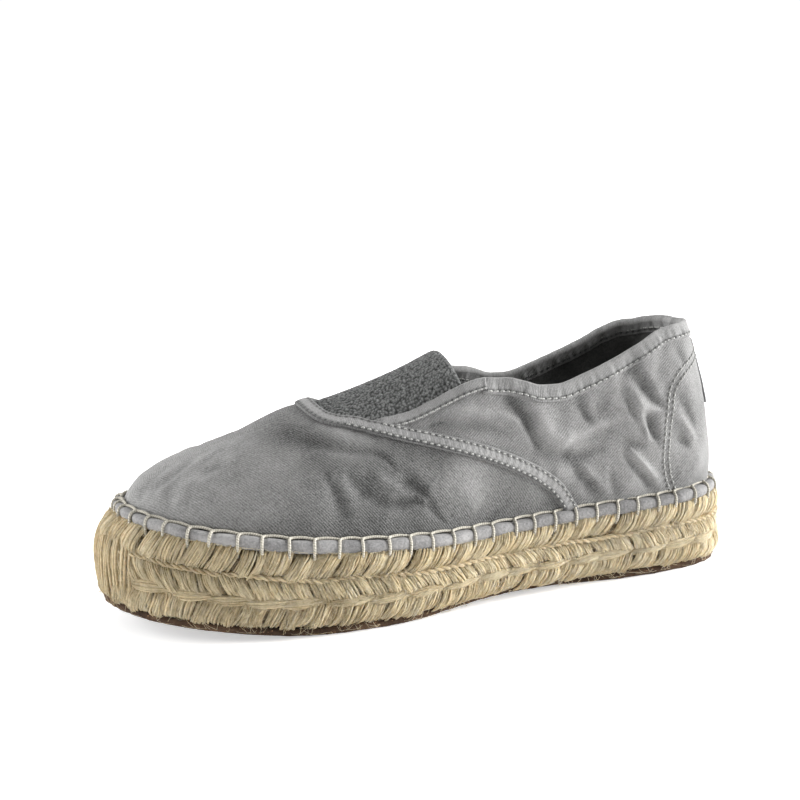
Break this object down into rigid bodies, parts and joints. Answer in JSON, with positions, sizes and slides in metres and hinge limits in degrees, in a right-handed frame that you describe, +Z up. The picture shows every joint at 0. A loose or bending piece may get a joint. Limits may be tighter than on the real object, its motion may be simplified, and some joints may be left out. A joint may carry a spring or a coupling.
{
  "type": "espadrille",
  "caption": "Left slip-on espadrille: hollow canvas upper with an elastic gore over the instep, on a braided jute platform with a thin crepe rubber outsole.",
  "frame": {"origin": "on the floor under the middle of the sole's bounding box", "axes": "+X to the toe, +Y to the outer side of the left foot, +Z up"},
  "size_m": [0.262, 0.0952, 0.101],
  "materials": {
    "canvas": "washed cotton twill",
    "elastic": "looped elastic, matt",
    "foxing": "smooth fabric roll, matt",
    "jute": "braided jute, fibrous",
    "crepe_rubber": "rough speckled crepe",
    "lining": "woven lining, matt",
    "label": "woven patch",
    "thread": "waxed cotton thread"
  },
  "bodies": {
    "root": {"outsole": "crepe_rubber", "jute_sole": "jute", "foxing_band": "foxing", "upper": "canvas", "elastic_gore": "elastic", "insole": "lining", "heel_label": "label"}
  },
  "joints": []
}
